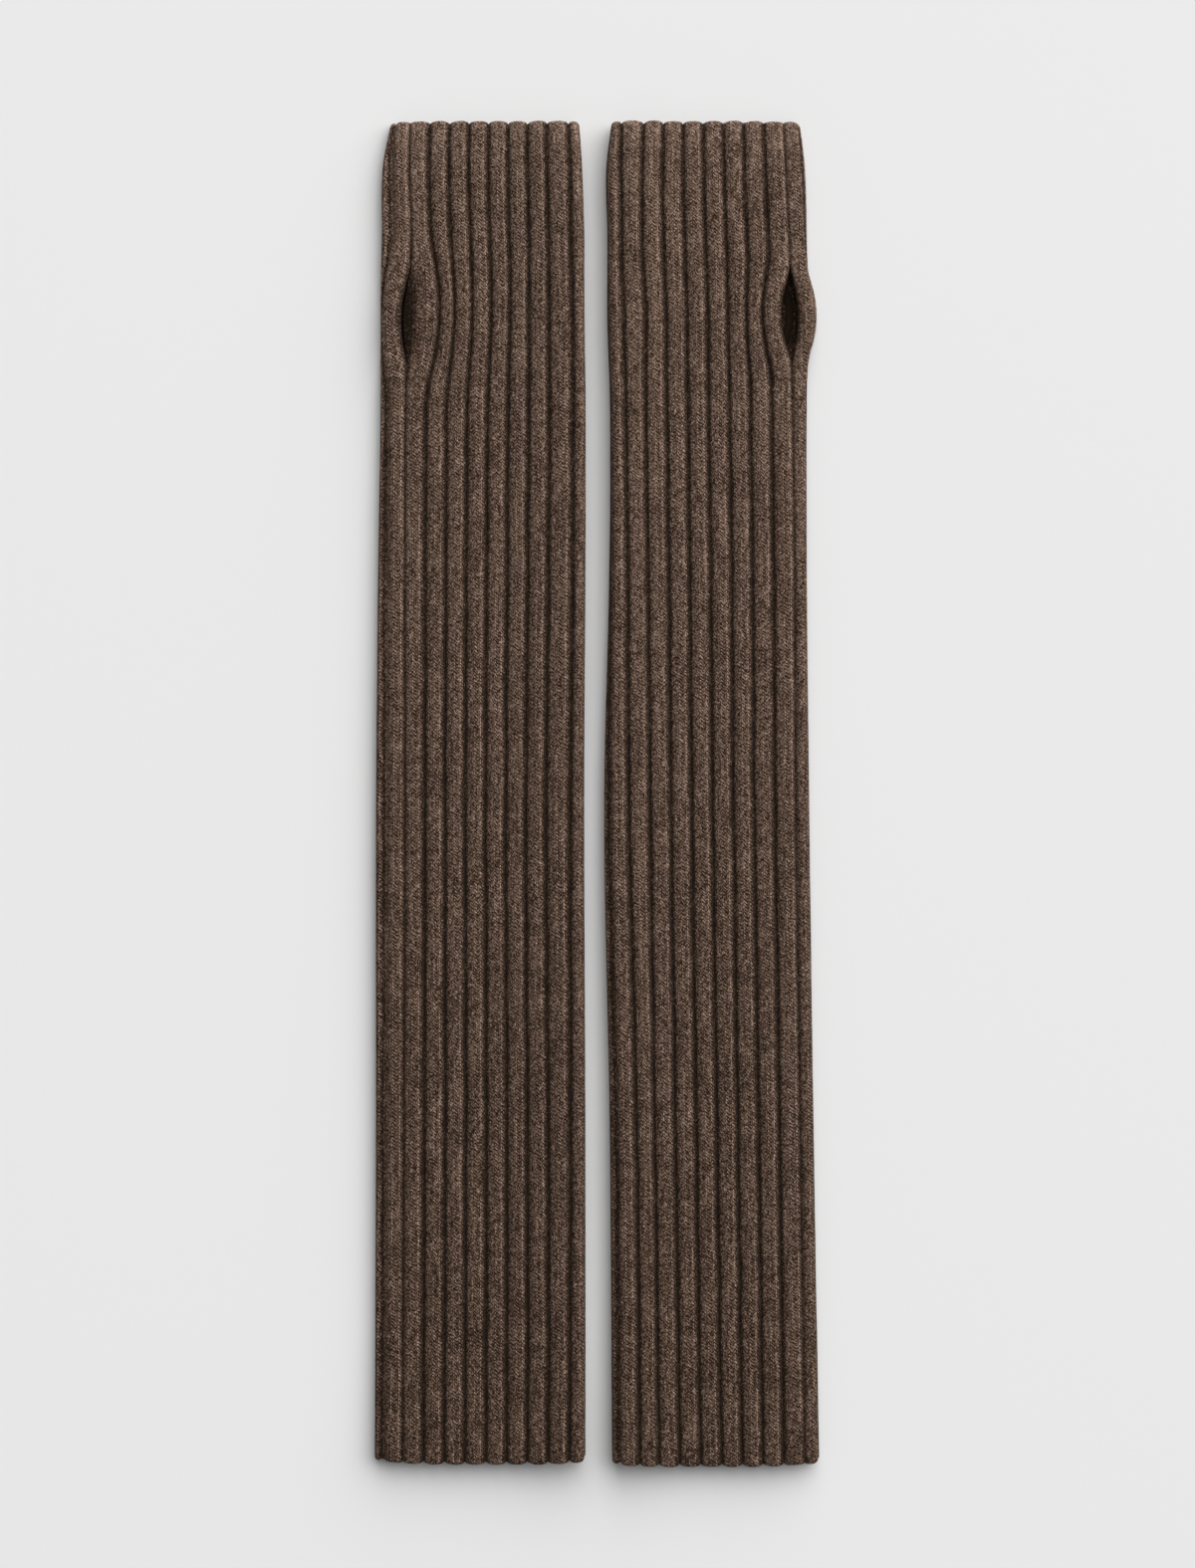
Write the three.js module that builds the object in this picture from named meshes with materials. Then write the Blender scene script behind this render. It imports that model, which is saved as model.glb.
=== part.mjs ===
// A pair of long fingerless arm warmers in thick ribbed wool, laid flat side by side.
// Each one is a single rib-knitted panel folded into a flat tube and linked along its length.
// The link runs in the valley next to the thumb-side rib and is left open for the thumb.
// Millimetres. X runs across the pair, Y along the arms with the hand end at +Y, Z is up.
import * as THREE from 'three';

// The knit
const CLOTH_THICKNESS = 4.2;     // from a rib's crown to the inner face
const HOLLOW = 1.0;              // between the two layers of the flattened tube
const PIECE_GAP = 0.3;           // between neighbouring pieces at the link and at the folds
const RIB_PITCH = 9.2;           // an unstretched rib and its valley
const FRONT_RIBS = 8;            // whole ribs between the link and the last valley on the front
const BACK_RIBS = 10;            // ribs across the back
const VALLEY_RISE = 0.45;        // thickness left in a valley, as a share of CLOTH_THICKNESS
const FOLD_RISE = 0.35;          // thickness left at a fold of the tube
const FOLD_EDGE = 0.8;           // width of the level edge beside a fold
const FOLD_TURN_IN = 1.6;        // from a fold to where the inner face is level
const SINGLE_FOLD = 0.95;        // fold width, in ribs, up to which it is a single rib
const FOLD_VALLEY_GROWTH = 0.45; // and in how much more width the valley behind it opens

// The thumb opening, a gap in the link
const OPENING_MIDDLE = 215;      // along Y
const OPENING_HALF_LENGTH = 23;
const OPENING_ROUNDNESS = 1.3;   // 1 is a parabola, more has sharper ends

const BACK_INNER = CLOTH_THICKNESS;
const FRONT_INNER = CLOTH_THICKNESS + HOLLOW;
const FOLD_LINE = CLOTH_THICKNESS + HOLLOW / 2;

// Outer shape of one rib, from its valley to just before the next valley.
const RIB_SHAPE = [
  { across: 0.0, rise: VALLEY_RISE },
  { across: 0.17, rise: 0.84 },
  { across: 0.5, rise: 1.0 },
  { across: 0.83, rise: 0.84 },
];

// The back's ribs are pressed flat where they rest.
const BACK_RIB_SHAPE = [
  { across: 0.0, rise: VALLEY_RISE },
  { across: 0.2, rise: 1.0 },
  { across: 0.8, rise: 1.0 },
];

// Where each section is taken round the opening, as shares of its half length.
const OPENING_SECTIONS = [-1, -0.8, -0.4, 0, 0.4, 0.8, 1];

// Places across the pair at each section along the arms: the thumb-side fold, the link, the
// front's seventh and eighth valleys from the link, and the fold next to the other warmer.
const LEFT = {
  name: 'left',
  inward: 1,                     // direction from the thumb side to the pair's middle
  bulge: 0,                      // how far the thumb-side fold stands out beside the opening
  frontLip: 2.0,                 // how far the opening's edges are drawn apart at its middle
  sideLip: 3.8,
  drawnValleys: [5, 2.5, 1.5, 1, 0.5],   // the front's valleys nearest to the opening
  sections: [
    { along: 300.5, outer: -92.5, link: -83.5, seventh: -22.5, eighth: -13, inner: -8 },
    { along: 280, outer: -96, link: -84, seventh: -22.5, eighth: -12, inner: -6.5 },
    { along: 250, outer: -96.5, link: -83, seventh: -22, eighth: -12, inner: -5.5 },
    { along: 213, outer: -97, link: -84.5, seventh: -21.5, eighth: -11, inner: -5.5 },
    { along: 180, outer: -97, link: -85.5, seventh: -21.5, eighth: -11, inner: -5 },
    { along: 100, outer: -98, link: -86, seventh: -22, eighth: -11, inner: -5 },
    { along: 0, outer: -99, link: -86, seventh: -23, eighth: -12, inner: -5.5 },
    { along: -150, outer: -99, link: -86.5, seventh: -22, eighth: -12, inner: -5 },
    { along: -299.5, outer: -99.5, link: -87, seventh: -22, eighth: -12.5, inner: -5 },
  ],
};
const RIGHT = {
  name: 'right',
  inward: -1,
  bulge: 3.5,
  frontLip: 4.2,
  sideLip: 1.4,
  drawnValleys: [3.5, 1.5, 0.5],
  sections: [
    { along: 300.5, outer: 91, link: 83, seventh: 20.5, eighth: 10.5, inner: 6 },
    { along: 280, outer: 93, link: 84, seventh: 20, eighth: 10.5, inner: 3.5 },
    { along: 250, outer: 94, link: 85.5, seventh: 20, eighth: 11, inner: 4 },
    { along: 213, outer: 94.5, link: 86.5, seventh: 21.5, eighth: 11.5, inner: 4 },
    { along: 180, outer: 94, link: 87, seventh: 21.5, eighth: 12.5, inner: 5 },
    { along: 100, outer: 94, link: 88, seventh: 22.5, eighth: 13.5, inner: 5 },
    { along: 0, outer: 95, link: 88.5, seventh: 23.5, eighth: 14, inner: 3 },
    { along: -150, outer: 97, link: 90.5, seventh: 25.5, eighth: 17.5, inner: 5.5 },
    { along: -300.5, outer: 99.5, link: 92.5, seventh: 27.5, eighth: 19, inner: 6.5 },
  ],
};

const wool = new THREE.MeshStandardMaterial({ color: 0x4d3e35, roughness: 0.95, metalness: 0 });

// How far the thumb opening gapes at a place along the arm, 1 at its middle and 0 past its ends.
function openingShare(along) {
  const fromMiddle = (along - OPENING_MIDDLE) / OPENING_HALF_LENGTH;
  return Math.max(0, 1 - fromMiddle * fromMiddle) ** OPENING_ROUNDNESS;
}

// The last stretch of a layer before a fold: a narrow one is a single rib rolling over the fold,
// and in a wide one the valley behind that rib opens to view.
function foldShape(width) {
  const open = THREE.MathUtils.clamp((width / RIB_PITCH - SINGLE_FOLD) / FOLD_VALLEY_GROWTH, 0, 1);
  return [
    { across: 0.0, rise: VALLEY_RISE },
    { across: 0.12, rise: 0.84 },
    { across: 0.36, rise: 1.0 },
    { across: 0.56, rise: 0.93 },
    { across: 0.68, rise: THREE.MathUtils.lerp(0.84, VALLEY_RISE, open) },
    { across: 0.82, rise: THREE.MathUtils.lerp(0.66, 0.8, open) },
    { across: 1.0, rise: FOLD_RISE },
  ];
}

// Points of a shape laid from one place to another across the layer.
function layShape(shape, from, to, base, upward) {
  return shape.map(({ across, rise }) => [
    THREE.MathUtils.lerp(from, to, across),
    base + upward * rise * CLOTH_THICKNESS,
  ]);
}

// The inner face of an upper piece, back from the fold to the piece's linked edge. It is turned
// down at the fold to meet the back.
function innerFace(foldAt, linkedAt) {
  const inset = Math.sign(linkedAt - foldAt);
  return [
    [foldAt, FOLD_LINE + PIECE_GAP / 2],
    [foldAt + inset * FOLD_EDGE, FOLD_LINE + PIECE_GAP / 2],
    [foldAt + inset * FOLD_TURN_IN, FRONT_INNER],
    [linkedAt, FRONT_INNER],
  ];
}

// All eight valleys of the front, even from the link to the seventh.
function evenValleys({ link, seventh, eighth }) {
  const pitch = (seventh - link) / (FRONT_RIBS - 1);
  const valleys = [];
  for (let rib = 1; rib < FRONT_RIBS; rib += 1) {
    valleys.push(link + rib * pitch);
  }
  valleys.push(eighth);
  return valleys;
}

// A warmer's section at any place along the arm, straight between the stated ones, with the
// thumb-side fold's bulge beside the opening.
function sectionAt({ sections, inward, bulge }, along) {
  const below = Math.max(1, sections.findIndex((section) => section.along <= along));
  const from = sections[below - 1];
  const to = sections[below];
  const share = (from.along - along) / (from.along - to.along);
  const between = (column) => THREE.MathUtils.lerp(from[column], to[column], share);
  return {
    along,
    outer: between('outer') - inward * bulge * openingShare(along),
    link: between('link'),
    seventh: between('seventh'),
    eighth: between('eighth'),
    inner: between('inner'),
  };
}

// The stated sections and those round the opening, from the hand end down.
function allSections(warmer) {
  const places = OPENING_SECTIONS.map((share) => OPENING_MIDDLE + share * OPENING_HALF_LENGTH);
  warmer.sections.forEach(({ along }) => {
    if (Math.abs(along - OPENING_MIDDLE) > OPENING_HALF_LENGTH) {
      places.push(along);
    }
  });
  places.sort((one, other) => other - one);
  return places.map((along) => sectionAt(warmer, along));
}

function frontSection(warmer, section) {
  const { inward, frontLip, drawnValleys } = warmer;
  const { along, link, inner } = section;
  const open = openingShare(along);
  const valleys = [link + inward * (PIECE_GAP / 2 + frontLip * open)];
  evenValleys(section).forEach((valley, rib) => {
    const drawn = drawnValleys[rib] ?? 0;
    valleys.push(valley + inward * drawn * open);
  });
  const outline = [];
  for (let rib = 0; rib < FRONT_RIBS; rib += 1) {
    outline.push(...layShape(RIB_SHAPE, valleys[rib], valleys[rib + 1], FRONT_INNER, 1));
  }
  const lastWidth = Math.abs(inner - valleys[FRONT_RIBS]);
  outline.push(...layShape(foldShape(lastWidth), valleys[FRONT_RIBS], inner, FRONT_INNER, 1));
  outline.push(...innerFace(inner, valleys[0]));
  return outline;
}

function thumbSideSection(warmer, section) {
  const { inward, sideLip } = warmer;
  const { along, link, outer } = section;
  const lip = link - inward * (PIECE_GAP / 2 + sideLip * openingShare(along));
  const outline = layShape(foldShape(Math.abs(outer - link)), lip, outer, FRONT_INNER, 1);
  outline.push(...innerFace(outer, lip));
  return outline;
}

function backSection(warmer, section) {
  const { inward } = warmer;
  const { outer, inner } = section;
  const pitch = (inner - outer) / BACK_RIBS;
  const outline = [[outer, BACK_INNER * (1 - FOLD_RISE)]];
  for (let rib = 0; rib < BACK_RIBS; rib += 1) {
    const from = outer + rib * pitch;
    const shape = rib === 0 ? BACK_RIB_SHAPE.slice(1) : BACK_RIB_SHAPE;
    outline.push(...layShape(shape, from, from + pitch, BACK_INNER, -1));
  }
  outline.push([inner, BACK_INNER * (1 - FOLD_RISE)]);
  outline.push([inner, FOLD_LINE - PIECE_GAP / 2]);
  outline.push([inner - inward * FOLD_EDGE, FOLD_LINE - PIECE_GAP / 2]);
  outline.push([inner - inward * FOLD_TURN_IN, BACK_INNER]);
  outline.push([outer + inward * FOLD_TURN_IN, BACK_INNER]);
  outline.push([outer + inward * FOLD_EDGE, FOLD_LINE - PIECE_GAP / 2]);
  outline.push([outer, FOLD_LINE - PIECE_GAP / 2]);
  return outline;
}

// The faces that close one end of a loft, turned the same way as its outline.
function endFaces(outline) {
  const points = outline.map(([across, up]) => new THREE.Vector2(across, up));
  const clockwise = THREE.ShapeUtils.isClockWise(points);
  return THREE.ShapeUtils.triangulateShape(points, []).map((face) => {
    const sameTurn = THREE.ShapeUtils.isClockWise(face.map((point) => points[point])) === clockwise;
    return sameTurn ? face : [...face].reverse();
  });
}

// A closed solid through outlines of equal length, one at each place along the arm, from the hand
// end down. An anticlockwise outline gives faces that point out, and a clockwise one is turned.
function loft(outlines, places) {
  const count = outlines[0].length;
  const lastRow = (outlines.length - 1) * count;
  const positions = [];
  outlines.forEach((outline, row) => {
    outline.forEach(([across, up]) => positions.push(across, places[row], up));
  });
  const faces = endFaces(outlines[0]).map((face) => [...face].reverse());
  faces.push(...endFaces(outlines.at(-1)).map((face) => face.map((point) => point + lastRow)));
  for (let start = 0; start < lastRow; start += count) {
    for (let point = 0; point < count; point += 1) {
      const next = (point + 1) % count;
      faces.push([start + point, start + next, start + count + next]);
      faces.push([start + point, start + count + next, start + count + point]);
    }
  }
  const firstPoints = outlines[0].map(([across, up]) => new THREE.Vector2(across, up));
  if (THREE.ShapeUtils.isClockWise(firstPoints)) {
    faces.forEach((face) => face.reverse());
  }
  const geometry = new THREE.BufferGeometry();
  geometry.setAttribute('position', new THREE.Float32BufferAttribute(positions, 3));
  geometry.setIndex(faces.flat());
  return geometry;
}

function clothPiece(name, warmer, makeSection) {
  const sections = allSections(warmer);
  const outlines = sections.map((section) => makeSection(warmer, section));
  const geometry = loft(outlines, sections.map(({ along }) => along));
  const mesh = new THREE.Mesh(geometry, wool);
  mesh.name = `${warmer.name}_${name}`;
  return mesh;
}

const armWarmers = new THREE.Group();
for (const warmer of [LEFT, RIGHT]) {
  armWarmers.add(clothPiece('front', warmer, frontSection));
  armWarmers.add(clothPiece('thumb_side', warmer, thumbSideSection));
  armWarmers.add(clothPiece('back', warmer, backSection));
}

export default armWarmers;
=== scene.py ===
import math

import bmesh
import bpy
import numpy as np
from mathutils import Matrix, Vector


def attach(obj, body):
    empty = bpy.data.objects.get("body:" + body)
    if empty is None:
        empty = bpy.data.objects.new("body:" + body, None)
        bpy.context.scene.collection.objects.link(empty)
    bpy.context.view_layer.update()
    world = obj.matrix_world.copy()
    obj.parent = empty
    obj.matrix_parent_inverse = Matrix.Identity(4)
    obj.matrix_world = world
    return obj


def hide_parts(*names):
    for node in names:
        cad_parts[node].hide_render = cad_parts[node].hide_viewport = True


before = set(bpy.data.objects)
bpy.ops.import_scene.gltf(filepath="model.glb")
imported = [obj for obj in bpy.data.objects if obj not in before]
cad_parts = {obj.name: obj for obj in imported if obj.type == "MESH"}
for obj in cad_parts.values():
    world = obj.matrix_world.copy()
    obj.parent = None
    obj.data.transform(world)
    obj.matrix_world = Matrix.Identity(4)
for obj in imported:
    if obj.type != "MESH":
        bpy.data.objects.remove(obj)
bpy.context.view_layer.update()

MM = 0.001

# ---------------------------------------------------------------------------------------------
# Camera. It hangs straight above the pair on a long lens, with the hand ends at the top, and
# takes in the whole pair with a margin of bare surface.
# ---------------------------------------------------------------------------------------------
CAMERA_HEIGHT = 2.6
FRAME_HEIGHT = 0.7010            # how much of the surface the long side of the picture takes in
FRAME_CENTRE = (0.0, 0.00435)

camera = bpy.data.objects.new("camera", bpy.data.cameras.new("camera"))
bpy.context.scene.collection.objects.link(camera)
bpy.context.scene.camera = camera
camera.data.sensor_width = 36
camera.data.lens = 36 * CAMERA_HEIGHT / FRAME_HEIGHT
camera.location = (*FRAME_CENTRE, CAMERA_HEIGHT + 0.004)
camera.data.clip_end = 50
bpy.context.scene.view_settings.view_transform = "Standard"

# ---------------------------------------------------------------------------------------------
# Studio. A pale matt surface, one broad soft light up and to the right, and a weak fill from
# all round.
# ---------------------------------------------------------------------------------------------
FLOOR_SIZE = 12.0
FLOOR_COLOUR = (0.80, 0.80, 0.80, 1)
LIGHT_TURN = 54                  # degrees round from +X towards +Y
LIGHT_RISE = 38                  # degrees above the surface
LIGHT_DISTANCE = 20.0
LIGHT_SIZE = 37.5
LIGHT_POWER = 9900
FILL_STRENGTH = 0.2

floor_mesh = bmesh.new()
bmesh.ops.create_grid(floor_mesh, x_segments=1, y_segments=1, size=FLOOR_SIZE / 2)
floor = bpy.data.objects.new("floor", bpy.data.meshes.new("floor"))
floor_mesh.to_mesh(floor.data)
floor_mesh.free()
bpy.context.scene.collection.objects.link(floor)
floor.data.transform(Matrix.Translation((0, 0, -0.0002)))
floor_paint = bpy.data.materials.new("pale_floor")
floor_paint.use_nodes = True
floor_shader = floor_paint.node_tree.nodes["Principled BSDF"]
floor_shader.inputs["Base Color"].default_value = FLOOR_COLOUR
floor_shader.inputs["Roughness"].default_value = 0.9
floor_shader.inputs["Specular IOR Level"].default_value = 0.1
floor.data.materials.append(floor_paint)

turn, rise = math.radians(LIGHT_TURN), math.radians(LIGHT_RISE)
towards_light = Vector((math.cos(turn) * math.cos(rise), math.sin(turn) * math.cos(rise), math.sin(rise)))
softbox = bpy.data.objects.new("softbox", bpy.data.lights.new("softbox", "AREA"))
softbox.data.shape = "DISK"
softbox.data.size = LIGHT_SIZE
softbox.data.energy = LIGHT_POWER
softbox.location = towards_light * LIGHT_DISTANCE
softbox.rotation_mode = "QUATERNION"
softbox.rotation_quaternion = towards_light.to_track_quat("Z", "Y")
bpy.context.scene.collection.objects.link(softbox)

surroundings = bpy.data.worlds.new("surroundings")
surroundings.use_nodes = True
surroundings.node_tree.nodes["Background"].inputs["Color"].default_value = (0.98, 0.98, 0.98, 1)
surroundings.node_tree.nodes["Background"].inputs["Strength"].default_value = FILL_STRENGTH
bpy.context.scene.world = surroundings

# ---------------------------------------------------------------------------------------------
# The two knitted tubes. Each is one panel of wool rib, folded into a flat tube and linked in the
# valley beside the thumb-side rib. The link is left open for the thumb, and both ends are the
# rib's own ends.
# ---------------------------------------------------------------------------------------------
STACK = 9.2                      # height of the tube laid flat
FOLD_RADIUS = STACK / 2
OUTER_PUFF, INNER_PUFF = 0.92, 0.42   # the tube lies flatter at the thumb side, fuller inside
ARM_END_PUFF = 0.22
WALL = 1.2
VALLEY_DEPTH = 3.2               # of the ribs that show, and of those pressed on the surface
BACK_DEPTH = 1.7
VALLEY_SHARE = 0.04              # of the pitch, flat at the bottom of a valley
RIB_LEAN = 0.05                  # the crowns lie past the middle of their pitch, towards +X
LINK_TAKEN_IN, LINK_DEPTH = 0.10, 1.5
# LINK_LIGHT lifts the wool's painted valley shade beside a shut link
LINK_LIGHT = 0.12
OUTER_FOLD_OPENED, INNER_FOLD_OPENED = 0.36, 0.15   # how much wider valleys are where they fold
TACK_PLACE, TACK_DEPTH = 25.5, 0.55   # the borders are tacked down at their ends
BORDER_RISE, BORDER_HALF_LENGTH = 0.8, 29
RIB_FULLNESS, RIB_ROUNDNESS = 2.25, 0.55
RIBS = 21                        # round the whole tube
COURSE = 1.535                   # height of one row of stitches
OPENING_MIDDLE, OPENING_HALF_LENGTH = 213.3, 22
BULGE_ROUNDNESS = 1.3            # 1 is a parabola, more has sharper ends
UNEVEN_LAY = 0.18                # how far the ribs wander
PRESSED = 0.35                   # how much of the back's ribs is pressed flat on the surface

# Each warmer's own shape, in mm. inward is the direction from its thumb side to the pair's middle.
# bulge is how far its thumb-side edge stands out beside the opening. The lips and the drawn ribs
# are how far the opening moves its borders and their neighbours, within reach of its middle, and
# taper sharpens its ends. rolled turns the front border's slope up. slope_shade is painted shade
# on the edge that turns down into the opening, and hole_shade painted shade on the inside of the
# back seen through it.
# The sections are places across the pair, at each place along the arms: the thumb-side edge, the
# link, the front's seventh and eighth valleys and the edge next to the other warmer.
COLUMNS = ("along", "outer", "link", "seventh", "eighth", "inner")
WARMERS = {
    "left": dict(
        inward=1,
        bulge=0,
        front_lip=-2.2,
        side_lip=3.2,
        side_draw=4.3,
        drawn=(5, 2.5, 1.5, 1, 0.5),
        reach=38,
        rolled=1.0,
        slope_shade=0.22,
        hole_shade=0.3,
        taper=1.25,
        slope_reach=0.5,
        sections=[
            (300.5, -92.5, -83.5, -22.5, -13, -8),
            (280, -96, -84, -22.5, -12, -6.5),
            (250, -96.5, -83, -22, -12, -5.5),
            (213, -97, -84.5, -21.5, -11, -5.5),
            (180, -97, -85.5, -21.5, -11, -5),
            (100, -98, -86, -22, -11, -5),
            (0, -99, -86, -23, -12, -5.5),
            (-150, -99, -86.5, -22, -12, -5),
            (-299.5, -99.5, -87, -22, -12.5, -5),
        ],
    ),
    "right": dict(
        inward=-1,
        bulge=3.5,
        front_lip=4.5,
        side_lip=2.7,
        side_draw=1.6,
        drawn=(3.5, 1.5, 0.5, 0, 0),
        reach=27,
        rolled=0.0,
        slope_shade=0.14,
        hole_shade=0.4,
        taper=1.5,
        slope_reach=0.2,
        sections=[
            (300.5, 91, 83, 20.5, 10.5, 6),
            (280, 93, 84, 20, 10.5, 3.5),
            (250, 94, 85.5, 20, 11, 4),
            (213, 94.5, 86.5, 21.5, 11.5, 4),
            (180, 94, 87, 21.5, 12.5, 5),
            (100, 94, 88, 22.5, 13.5, 5),
            (0, 95, 88.5, 23.5, 14, 3),
            (-150, 97, 90.5, 25.5, 17.5, 5.5),
            (-300.5, 99.5, 92.5, 27.5, 19, 6.5),
        ],
    ),
}


def section_at(warmer, column, along):
    """One column of a warmer's sections at places along the arm, on a smooth curve."""
    rows = np.array(warmer["sections"])[::-1]
    places, values = rows[:, 0], rows[:, COLUMNS.index(column)]
    slopes = np.gradient(values, places)
    here = np.clip(np.searchsorted(places, along, side="right") - 1, 0, len(places) - 2)
    span = places[here + 1] - places[here]
    t = np.clip((along - places[here]) / span, 0, 1)
    return (
        values[here] * (1 + 2 * t) * (1 - t) ** 2
        + values[here + 1] * t * t * (3 - 2 * t)
        + span * (slopes[here] * t * (1 - t) ** 2 - slopes[here + 1] * t * t * (1 - t))
    )


def smooth_step(low, high, value):
    """0 below low, 1 above high, and a smooth rise between."""
    t = np.clip((value - low) / (high - low), 0, 1)
    return t * t * (3 - 2 * t)


def waves(seed, along, round_tube, lengths):
    """Slow unevenness of hand-laid cloth, between about -1 and 1."""
    rng = np.random.default_rng(seed)
    total = np.zeros(np.broadcast(along, round_tube).shape)
    for length in lengths:
        for _ in range(3):
            heading = rng.uniform(0, 2 * math.pi)
            phase = rng.uniform(0, 2 * math.pi)
            forward = along * math.cos(heading) / length + round_tube * math.sin(heading) / length
            total = total + np.sin(2 * math.pi * forward + phase)
    return total / (3 * len(lengths)) * 1.6


END_ROUND = 1.8                  # how far from its end a rib's outer face rounds over


def rib_height(share, valley, lean):
    """Height of a rib across its pitch, 1 at the crown and 0 in the valley, which has that share."""
    crown = 0.5 + lean
    from_crown = np.where(share < crown, (crown - share) / crown, (share - crown) / (1 - crown))
    from_crown = np.clip(from_crown / (1 - valley), 0, 1)
    return (1 - from_crown ** RIB_FULLNESS) ** RIB_ROUNDNESS


def opening_share(along, half_length, roundness):
    """1 at the middle of the thumb opening, falling to 0 at a distance from it along the arm."""
    from_middle = np.clip((along - OPENING_MIDDLE) / half_length, -1, 1)
    return (1 - from_middle ** 2) ** roundness


def tube_points(warmer, seed, rib, along):
    """Outer surface of a warmer, in mm: rib counts ribs round the tube from the link."""
    inward = warmer["inward"]
    bulge = inward * warmer["bulge"] * opening_share(along, OPENING_HALF_LENGTH, BULGE_ROUNDNESS)
    outer = section_at(warmer, "outer", along) - bulge
    link = section_at(warmer, "link", along)
    inner = section_at(warmer, "inner", along)
    eighth = section_at(warmer, "eighth", along)
    seventh = section_at(warmer, "seventh", along)
    pitch = np.abs(seventh - link) / 7
    eighth_rib = np.abs(eighth - seventh)
    fold_rib = 1.1 * pitch
    front_flat = np.abs(inner - link) - FOLD_RADIUS
    side_flat = np.abs(outer - link) - FOLD_RADIUS
    back_flat = np.abs(inner - outer) - 2 * FOLD_RADIUS
    fold = math.pi * FOLD_RADIUS
    girth = front_flat + side_flat + back_flat + 2 * fold
    back_pitch = (girth - 7 * pitch - eighth_rib - 2 * fold_rib) / 11

    # distance round the tube from the link
    around = pitch * np.clip(rib, 0, 7)
    around = around + eighth_rib * np.clip(rib - 7, 0, 1) + fold_rib * np.clip(rib - 8, 0, 1)
    around = around + back_pitch * np.clip(rib - 9, 0, 11) + fold_rib * np.clip(rib - 20, 0, 1)
    steady = smooth_step(0, 2, rib) * smooth_step(0, 1, RIBS - rib)
    around = around + UNEVEN_LAY * waves(seed, along, around, (60, 35)) * steady

    # the thumb opening draws its two borders and their neighbours apart
    gape = opening_share(along, OPENING_HALF_LENGTH, warmer["taper"])
    drawn = opening_share(along, warmer["reach"], 1.5)
    to_link = RIBS - rib
    front_draw = drawn * np.interp(rib, (0, 1, 2, 3, 4, 5, 6), (0, *warmer["drawn"], 0))
    front_draw = front_draw + gape * np.interp(rib, (0, 1), (warmer["front_lip"], 0))
    side_draw = drawn * np.interp(to_link, (0, 1, 2), (0, warmer["side_draw"], 0))
    side_draw = side_draw + gape * np.interp(to_link, (0, 1), (warmer["side_lip"], 0))
    around = around + np.where(rib < RIBS / 2, front_draw, -side_draw)

    # place and outward direction on the flattened tube
    on_front = around < front_flat
    turn_in = (around - front_flat) / FOLD_RADIUS
    on_inner_fold = ~on_front & (turn_in < math.pi)
    under = around - front_flat - fold
    on_back = (under >= 0) & (under < back_flat)
    turn_out = (under - back_flat) / FOLD_RADIUS
    on_outer_fold = (turn_out >= 0) & (turn_out < math.pi)
    top_side = under - back_flat - fold
    across = np.select(
        [on_front, on_inner_fold, on_back, on_outer_fold],
        [
            link + inward * around,
            inner - inward * FOLD_RADIUS * (1 - np.sin(turn_in)),
            inner - inward * (FOLD_RADIUS + under),
            outer + inward * FOLD_RADIUS * (1 - np.sin(turn_out)),
        ],
        outer + inward * (FOLD_RADIUS + top_side),
    )
    up = np.select(
        [on_front, on_inner_fold, on_back, on_outer_fold],
        [
            STACK + 0 * around,
            FOLD_RADIUS * (1 + np.cos(turn_in)),
            0 * around,
            FOLD_RADIUS * (1 - np.cos(turn_out)),
        ],
        STACK + 0 * around,
    )
    from_outer = np.clip(np.abs(across - outer) / np.abs(inner - outer), 0, 1)
    puff = OUTER_PUFF + (1 - OUTER_PUFF) * smooth_step(0, 0.3, from_outer)
    puff = puff + INNER_PUFF * smooth_step(0.6, 1, from_outer)
    up = up * puff * (1 + ARM_END_PUFF * smooth_step(-230, -300, along))
    out_across = np.select(
        [on_inner_fold, on_outer_fold], [inward * np.sin(turn_in), -inward * np.sin(turn_out)], 0 * around
    )
    out_up = np.select(
        [on_front, on_inner_fold, on_back, on_outer_fold],
        [1 + 0 * around, np.cos(turn_in), -1 + 0 * around, -np.cos(turn_out)],
        1 + 0 * around,
    )

    # the link takes in the edges of its two ribs; a border at the opening is rolled, so that more
    # of its edge's slope shows
    number = np.minimum(np.floor(rib), RIBS - 1)
    share = rib - number
    taken_in = LINK_TAKEN_IN * (1 - drawn)
    share = np.where(number == 0, share ** (1 + warmer["rolled"] * drawn), share)
    share = np.where(number == 0, taken_in + (1 - taken_in) * share, share)
    share = np.where(number == RIBS - 1, share * (1 - taken_in), share)
    laid = number + share

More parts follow.
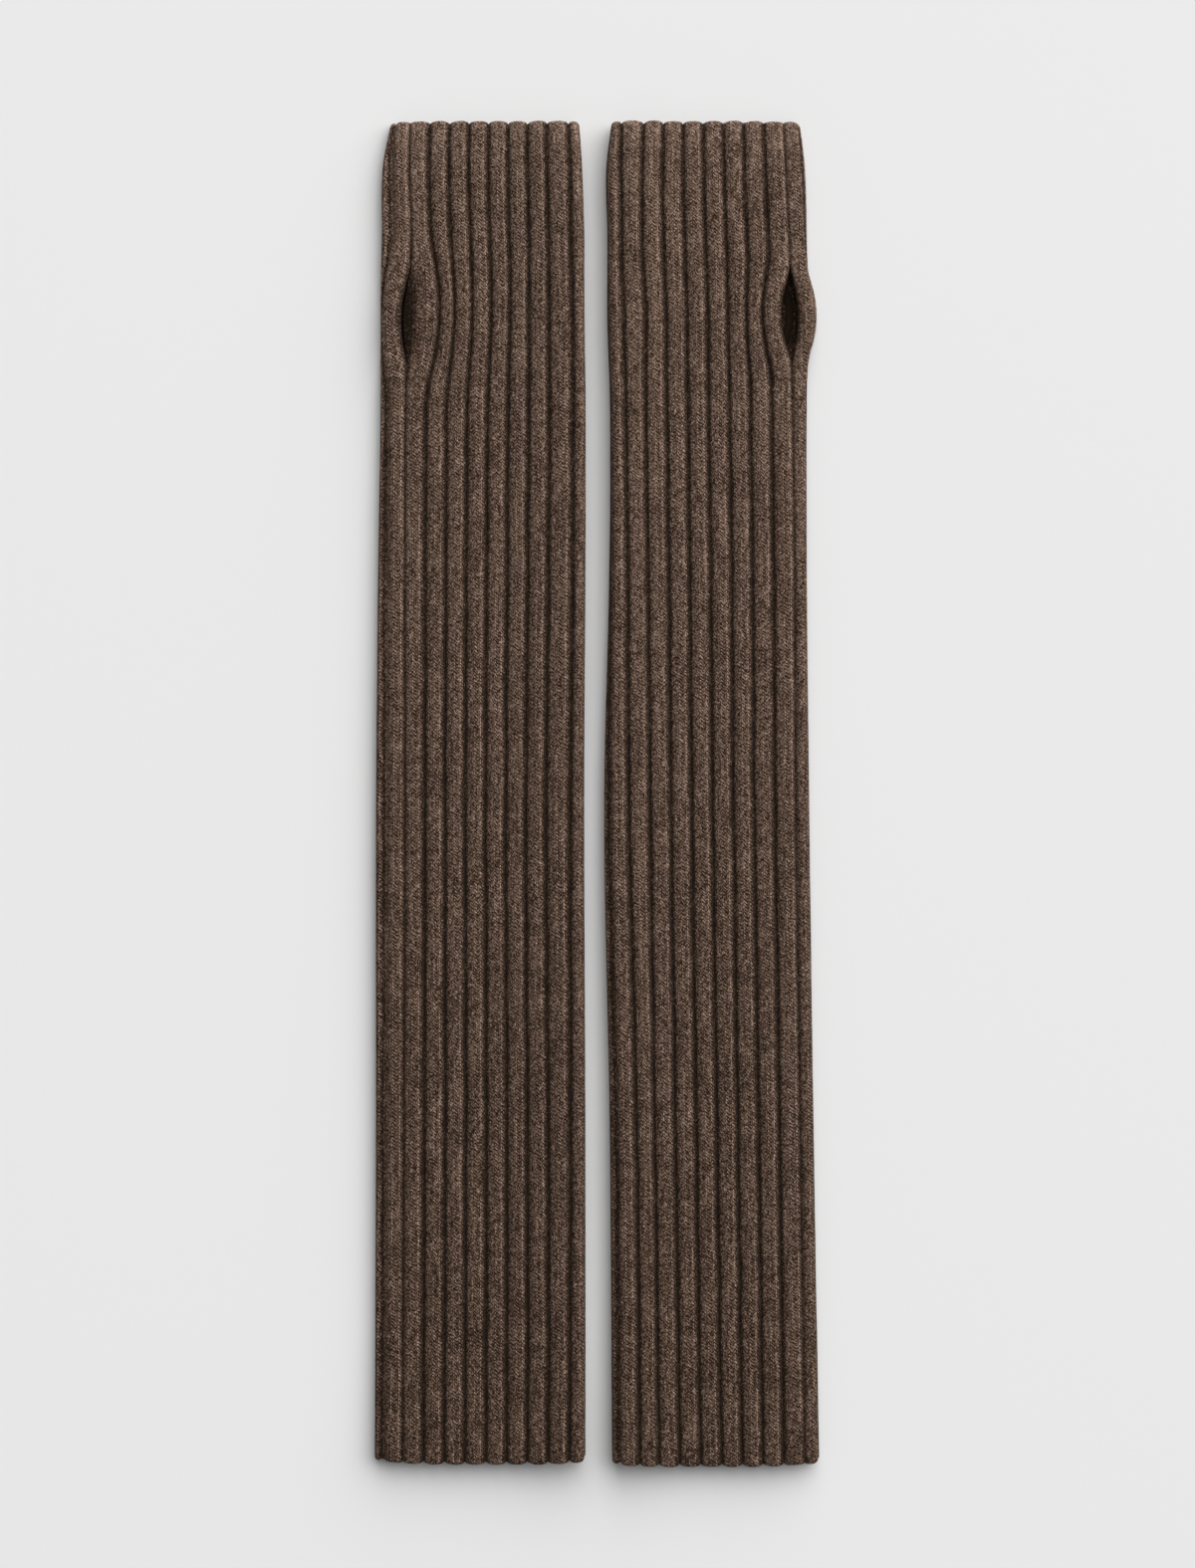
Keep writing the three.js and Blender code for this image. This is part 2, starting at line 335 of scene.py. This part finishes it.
    # ribs stand out from the valleys; valleys open where the tube folds
    towards_right = share if inward > 0 else 1 - share
    bend = np.abs(out_across)
    opened = OUTER_FOLD_OPENED * np.exp(-(((rib - 20) / 0.5) ** 2)) * (1 - drawn)
    opened = opened + INNER_FOLD_OPENED * np.exp(-(((rib - 9) / 0.5) ** 2))
    height = rib_height(towards_right, VALLEY_SHARE + opened + 0.2 * bend, RIB_LEAN)
    near_link = np.minimum(rib, to_link)
    face_depth = np.where(out_up < 0, BACK_DEPTH, VALLEY_DEPTH)
    depth = face_depth * (1 - 0.75 * bend) * (1 + 0.1 * waves(seed + 1, along, around, (45, 22)))
    left_border = (rib > RIBS / 2) == (inward > 0)
    edge_depth = np.where(left_border, -0.6, 0.5) * gape * np.exp(-((near_link / 0.3) ** 2))
    sink = depth * (1 + edge_depth) * (1 - height)
    sink = sink + LINK_DEPTH * (1 - gape) * np.exp(-((near_link / 0.06) ** 2))
    border = smooth_step(BORDER_HALF_LENGTH, BORDER_HALF_LENGTH - 1.5, np.abs(along - OPENING_MIDDLE))
    sink = sink - BORDER_RISE * border * smooth_step(1, 0.85, near_link)
    from_tack = (np.abs(along - OPENING_MIDDLE) - TACK_PLACE) / 0.9
    sink = sink + TACK_DEPTH * np.exp(-(from_tack ** 2)) * smooth_step(0.75, 0.4, near_link) * (out_up > 0)
    pressed = PRESSED * (out_up < -0.5)
    sink = np.where(pressed > 0, np.maximum(sink, pressed) - pressed, sink)

    # both ends round over, most where the tube folds
    from_end = np.minimum(warmer["sections"][0][0] - along, along - warmer["sections"][-1][0])
    roll = np.clip(1 - from_end / END_ROUND, 0, 1)
    sink = sink + END_ROUND * (0.5 + 0.4 * bend) * (1 - np.sqrt(1 - roll ** 2))

    # deep in the opening, painted shade darkens the folded-in edge and the back layer's inside, which lie
    # in shade
    across, up = across - out_across * sink, up - out_up * sink
    slope = np.exp(-((near_link / warmer["slope_reach"]) ** 2.5))
    shade = np.where(left_border, 0, warmer["slope_shade"] * gape ** 0.5 * slope)
    hole_middle = link + inward * gape * (warmer["front_lip"] - warmer["side_lip"]) / 2
    hole_reach = gape * (warmer["front_lip"] + warmer["side_lip"]) / 2 + 1.2
    under_hole = warmer["hole_shade"] * opening_share(along, OPENING_HALF_LENGTH + 5, 0.4)
    under_hole = under_hole * np.exp(-(((across - hole_middle) / hole_reach) ** 4))
    # where the link lies shut near the hand, its valley is only a fine dark line: the painted valley shade
    # is lifted beside it
    shut = smooth_step(60, 120, along) * (1 - gape) * (1 - np.exp(-((near_link / 0.035) ** 2)))
    shade = shade - LINK_LIGHT * shut * np.exp(-((near_link / 0.24) ** 2))
    shade = np.where(on_back, under_hole, shade)
    return across, up, height, laid, shade


# columns of stitches round the tube, closer in the valleys, and courses along the arm
PER_FRONT_RIB, PER_BACK_RIB = 16, 8
rib_columns = []
for number in range(RIBS):
    steps = PER_BACK_RIB if 10 <= number < RIBS - 1 else PER_FRONT_RIB
    t = np.arange(steps) / steps
    rib_columns.extend(number + t - 0.5 * np.sin(2 * math.pi * t) / (2 * math.pi))
rib_columns.append(RIBS)
rib_columns = np.array(rib_columns)


def course_rows(top, bottom):
    """Places along the arm from the hand end to the arm end, closer at the ends and the thumb."""
    places = [top, top - 0.15, top - 0.45, top - 0.9, top - 1.5]
    while places[-1] > bottom + 4:
        from_thumb = abs(places[-1] - OPENING_MIDDLE)
        near_hand = places[-1] > top - 40
        at_tack = abs(from_thumb - TACK_PLACE) < 2.5
        step = 0.8 if at_tack else 1.9 if from_thumb < 30 else 2.8 if near_hand else 4.2
        places.append(places[-1] - step)
    places = [place for place in places if place > bottom + 1.9]
    return np.array(places + [bottom + 1.5, bottom + 0.9, bottom + 0.45, bottom + 0.15, bottom])


VALLEY_SETBACK = 1.1             # the rib ends are scalloped: valleys end short of the crowns
HAND_BOW, ARM_BOW = 0.4, 1.6     # how far the ends' corners lie short of their middles


def knit_tube(name, warmer, seed):
    """The outer face of one knitted tube, with ribs and courses as its UV map."""
    top, bottom = warmer["sections"][0][0], warmer["sections"][-1][0]
    rows = course_rows(top, bottom)
    rib, along = np.meshgrid(rib_columns, rows)
    across, up, height, laid, shade = tube_points(warmer, seed, rib, along)

    # the ends are scalloped by the valleys
    from_end = np.minimum(top - along, along - bottom)
    near_end = smooth_step(12, 0, from_end)
    uneven = 0.2 * (1 + waves(seed + 5, 0 * along, rib * 9.2, (30, 12)))
    hand_or_arm = np.where(along > 0, 1, -1)
    middle = (section_at(warmer, "outer", along) + section_at(warmer, "inner", along)) / 2
    half_width = np.abs(section_at(warmer, "inner", along) - middle)
    bow = np.where(along > 0, HAND_BOW, ARM_BOW) * np.clip(np.abs(across - middle) / half_width, 0, 1) ** 3
    placed = along - hand_or_arm * near_end * (VALLEY_SETBACK * (1 - height) + uneven + bow)

    # a flat grid of stitches, each point then laid in its place on the tube
    knit = bmesh.new()
    wide, long = len(rib_columns), len(rows)
    bmesh.ops.create_grid(knit, x_segments=wide - 1, y_segments=long - 1, size=1)
    uv = knit.loops.layers.uv.new("ribs_and_courses")
    # the opening's painted shade goes with each point as the deep_shade attribute
    deep = knit.verts.layers.float.new("deep_shade")
    grid = {}
    for vert in knit.verts:
        column = round((vert.co.x + 1) / 2 * (wide - 1))
        row = round((1 - vert.co.y) / 2 * (long - 1))
        grid[row, column] = vert
    where = {vert: key for key, vert in grid.items()}
    for face in knit.faces:
        for loop in face.loops:
            row, column = where[loop.vert]
            loop[uv].uv = (warmer["inward"] * laid[row, column], along[row, column] / COURSE)
    for (row, column), vert in grid.items():
        vert.co = (across[row, column] * MM, placed[row, column] * MM, up[row, column] * MM)
        vert[deep] = shade[row, column]

    # link the panel's two sides, apart from the thumb opening
    linked = [row for row in range(long) if abs(rows[row] - OPENING_MIDDLE) > OPENING_HALF_LENGTH]
    bmesh.ops.weld_verts(knit, targetmap={grid[row, wide - 1]: grid[row, 0] for row in linked})
    bmesh.ops.recalc_face_normals(knit, faces=knit.faces)
    for face in knit.faces:
        face.smooth = True
    mesh = bpy.data.meshes.new(name)
    knit.to_mesh(mesh)
    knit.free()
    tube = bpy.data.objects.new(name, mesh)
    bpy.context.scene.collection.objects.link(tube)
    wall = tube.modifiers.new("wall", "SOLIDIFY")
    wall.thickness = WALL * MM
    wall.offset = -1
    return tube


# ---------------------------------------------------------------------------------------------
# The wool. Three knit wales and a narrow purl valley follow the tube's rib and course map, and
# fibres, flecks and blotches in several browns lie over them. Painted shade darkens the valleys and
# the thumb openings, and painted light partly makes the pale wale lines and lightens the hand ends.
# ---------------------------------------------------------------------------------------------
wool = bpy.data.materials.new("heathered_wool")
wool.use_nodes = True
wool_nodes, wool_links = wool.node_tree.nodes, wool.node_tree.links


def wool_math(operation, *values):
    """A Math node on sockets or plain numbers."""
    node = wool_nodes.new("ShaderNodeMath")
    node.operation = operation
    for socket, value in zip(node.inputs, values):
        if isinstance(value, (int, float)):
            socket.default_value = value
        else:
            wool_links.new(value, socket)
    return node.outputs[0]


def wool_noise(vector, scale, detail, roughness=0.6):
    """A Noise Texture's value, centred on 0.5."""
    node = wool_nodes.new("ShaderNodeTexNoise")
    node.inputs["Scale"].default_value = scale
    node.inputs["Detail"].default_value = detail
    node.inputs["Roughness"].default_value = roughness
    wool_links.new(vector, node.inputs["Vector"])
    return node.outputs[0]


PURL_SHARE = 0.13                # of the pitch, beside three equal knit wales
PATTERN_START = 0.03             # of the pitch, from the valley's bottom to the purl's first side
KNIT_WALES = 3
WOOL_LIGHTNESS = 0.437
CROWN_TURN = 0.5                 # radians, how far a crown's light leans towards the next rib
VALLEY_TURN = 0.2                # radians, how far a valley's shade leans on the rib before it

stitches = wool_nodes.new("ShaderNodeUVMap")
stitches.uv_map = "ribs_and_courses"
place = wool_nodes.new("ShaderNodeTexCoord").outputs["Object"]
drawn_out = wool_nodes.new("ShaderNodeMapping")
drawn_out.inputs["Scale"].default_value = (1, 0.55, 1)
wool_links.new(place, drawn_out.inputs["Vector"])
lengthwise = wool_nodes.new("ShaderNodeMapping")
lengthwise.inputs["Scale"].default_value = (1, 0.04, 1)
wool_links.new(place, lengthwise.inputs["Vector"])
streaks = wool_noise(lengthwise.outputs[0], 1100, 2)
uneven = wool_noise(place, 260, 2)
fibres = wool_noise(drawn_out.outputs[0], 2000, 3, 0.72)
flecks = wool_noise(place, 1050, 1)
blotches = wool_noise(place, 90, 3, 0.6)

# where a point lies in its rib and its course; neither is quite even
apart = wool_nodes.new("ShaderNodeSeparateXYZ")
wool_links.new(stitches.outputs[0], apart.inputs[0])
off_line = wool_math("SUBTRACT", uneven, 0.5)
ribs = wool_math("MULTIPLY_ADD", off_line, 0.045, apart.outputs[0])
share = wool_math("FRACT", wool_math("SUBTRACT", ribs, PATTERN_START))
course = wool_math("MULTIPLY_ADD", off_line, 1.2, apart.outputs[1])
# crown is 1 on each rib's crown, leaned towards the light, and carries the painted highlight of the wale
# lines
rib_turn = wool_math("MULTIPLY", ribs, 2 * math.pi)
crown_wave = wool_math("COSINE", wool_math("SUBTRACT", rib_turn, CROWN_TURN))
crown = wool_math("MULTIPLY_ADD", crown_wave, -0.5, 0.5)
# valley_shade is painted shade deep in each purl valley
valley_wave = wool_math("COSINE", wool_math("ADD", rib_turn, VALLEY_TURN))
into_valley = wool_math("MULTIPLY_ADD", valley_wave, 0.5, 0.5)
valley_shade = wool_math("POWER", into_valley, 7)

# knit wales: slanted legs, and a pale unbroken line where two wales meet on the crown, partly the yarn's
# paler fibres and partly a painted highlight of the raised strands, brighter towards the lit side
wale = wool_math("MULTIPLY", wool_math("SUBTRACT", share, PURL_SHARE), KNIT_WALES / (1 - PURL_SHARE))
in_wale = wool_math("FRACT", wale)
from_middle = wool_math("ABSOLUTE", wool_math("MULTIPLY_ADD", in_wale, 2, -1))
slant = wool_math("MULTIPLY", wool_math("ABSOLUTE", wool_math("SUBTRACT", in_wale, 0.55)), -1.6)
slanted = wool_math("ADD", course, slant)
leg = wool_math("COSINE", wool_math("MULTIPLY", slanted, 2 * math.pi))
leg = wool_math("MULTIPLY", leg, wool_math("SUBTRACT", 1.2, in_wale))
leg = wool_math("MULTIPLY", leg, wool_math("MULTIPLY_ADD", crown, 0.7, 0.3))

# heathered yarn: each leg of a stitch has its own tone
which_stitch = wool_nodes.new("ShaderNodeCombineXYZ")
wool_links.new(wool_math("FLOOR", wool_math("MULTIPLY", wale, 2)), which_stitch.inputs[0])
wool_links.new(wool_math("FLOOR", slanted), which_stitch.inputs[1])
wool_links.new(wool_math("FLOOR", wool_math("SUBTRACT", ribs, PATTERN_START)), which_stitch.inputs[2])
own_tone = wool_nodes.new("ShaderNodeTexWhiteNoise")
wool_links.new(which_stitch.outputs[0], own_tone.inputs["Vector"])
tone = wool_math("SUBTRACT", own_tone.outputs["Value"], 0.5)
course_wave = wool_math("COSINE", wool_math("MULTIPLY", course, 2 * math.pi))
bead = wool_math("MULTIPLY_ADD", course_wave, 0.5, 0.55)
bead = wool_math("MULTIPLY_ADD", tone, 0.6, bead)
bead = wool_math("MULTIPLY", bead, wool_math("MULTIPLY_ADD", streaks, 2.0, 0))
meeting = wool_math("MULTIPLY", wool_math("POWER", from_middle, 12), wool_math("POWER", crown, 0.5))
meeting = wool_math("MULTIPLY", meeting, wool_math("MULTIPLY_ADD", wale, 0.16, 0.3))
meeting = wool_math("MULTIPLY", meeting, bead)
stitch = wool_math("MULTIPLY_ADD", meeting, 2.05, wool_math("MULTIPLY", leg, 0.22))
beside_line = wool_math("MULTIPLY", wool_math("POWER", from_middle, 3), crown)
stitch = wool_math("MULTIPLY_ADD", beside_line, -0.25, stitch)
near_middle = wool_math("POWER", wool_math("SUBTRACT", 1, from_middle), 3)
middle_line = wool_math("MULTIPLY", near_middle, crown)
stitch = wool_math("MULTIPLY_ADD", middle_line, -0.12, stitch)

# loose fibres, flecks and slow changes of tone, with painted shade dark in the valleys and the openings and
# painted light paler towards the hand end
fuzz_height = wool_math("MULTIPLY_ADD", crown, -0.9, 2.9)
fuzz = wool_math("MULTIPLY", wool_math("SUBTRACT", fibres, 0.5), fuzz_height)
# deep_shade is painted shade in the thumb openings, and it also quietens the fibres there
deep_shade = wool_nodes.new("ShaderNodeAttribute")
deep_shade.attribute_name = "deep_shade"
fuzz = wool_math("MULTIPLY", fuzz, wool_math("MULTIPLY_ADD", deep_shade.outputs["Fac"], -1.8, 1))
lightness = wool_math("ADD", fuzz, stitch)
lightness = wool_math("MULTIPLY_ADD", wool_math("SUBTRACT", flecks, 0.5), 1.1, lightness)
lightness = wool_math("MULTIPLY_ADD", tone, 0.18, lightness)
lightness = wool_math("MULTIPLY_ADD", wool_math("SUBTRACT", streaks, 0.5), 0.5, lightness)
lightness = wool_math("MULTIPLY_ADD", wool_math("SUBTRACT", blotches, 0.5), 0.3, lightness)
# painted shade: darker deep in every valley, and where deep_shade marks the openings
lightness = wool_math("MULTIPLY_ADD", valley_shade, -0.45, lightness)
lightness = wool_math("SUBTRACT", lightness, deep_shade.outputs["Fac"])
# painted light: lighter along the arm towards the hand, where the light falls stronger, and a painted
# highlight on the hand end's rim
along_arm = wool_nodes.new("ShaderNodeSeparateXYZ")
wool_links.new(place, along_arm.inputs[0])
lightness = wool_math("MULTIPLY_ADD", along_arm.outputs[1], 0.22, lightness)
towards_hand = wool_math("MULTIPLY_ADD", along_arm.outputs[1], 12.5, -2.75)
hand_end_highlight = wool_math("POWER", wool_math("MAXIMUM", towards_hand, 0), 6)
lightness = wool_math("MULTIPLY_ADD", hand_end_highlight, 0.12, lightness)
lightness = wool_math("ADD", lightness, WOOL_LIGHTNESS)
shades = wool_nodes.new("ShaderNodeValToRGB")
WOOL_SHADES = (                  # from the deepest shade to the palest hair
    (0.0, (0.014, 0.0085, 0.0052, 1)),
    (0.25, (0.0435, 0.0265, 0.0175, 1)),
    (0.5, (0.123, 0.0773, 0.0553, 1)),
    (0.75, (0.236, 0.1570, 0.118, 1)),
    (1.0, (0.415, 0.300, 0.240, 1)),
)
ramp = shades.color_ramp
while len(ramp.elements) < len(WOOL_SHADES):
    ramp.elements.new(0.5)
for element, (position, colour) in zip(ramp.elements, WOOL_SHADES):
    element.position = position
    element.color = colour
wool_links.new(lightness, shades.inputs[0])

relief = wool_math("MULTIPLY_ADD", wool_math("SUBTRACT", fibres, 0.5), 0.8, wool_math("MULTIPLY", leg, 0.4))
relief = wool_math("MULTIPLY_ADD", meeting, 0.5, relief)
bump = wool_nodes.new("ShaderNodeBump")
bump.inputs["Strength"].default_value = 0.8
bump.inputs["Distance"].default_value = 0.45 * MM
wool_links.new(relief, bump.inputs["Height"])
wool_shader = wool_nodes["Principled BSDF"]
wool_shader.inputs["Roughness"].default_value = 0.95
wool_shader.inputs["Specular IOR Level"].default_value = 0.05
wool_shader.inputs["Sheen Weight"].default_value = 0.08
wool_shader.inputs["Sheen Roughness"].default_value = 0.5
wool_shader.inputs["Sheen Tint"].default_value = (0.6, 0.45, 0.35, 1)
wool_links.new(shades.outputs[0], wool_shader.inputs["Base Color"])
wool_links.new(bump.outputs[0], wool_shader.inputs["Normal"])

# ---------------------------------------------------------------------------------------------
# The pair. Both tubes are made, coloured and laid on the surface in the same way, and each
# stands for the three strips of its side.
# ---------------------------------------------------------------------------------------------
for seed, (side, warmer) in enumerate(WARMERS.items()):
    tube = knit_tube(f"{side}_arm_warmer", warmer, 20 + 40 * seed)
    tube.data.materials.append(wool)
    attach(tube, "root")
    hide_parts(f"{side}_front", f"{side}_thumb_side", f"{side}_back")
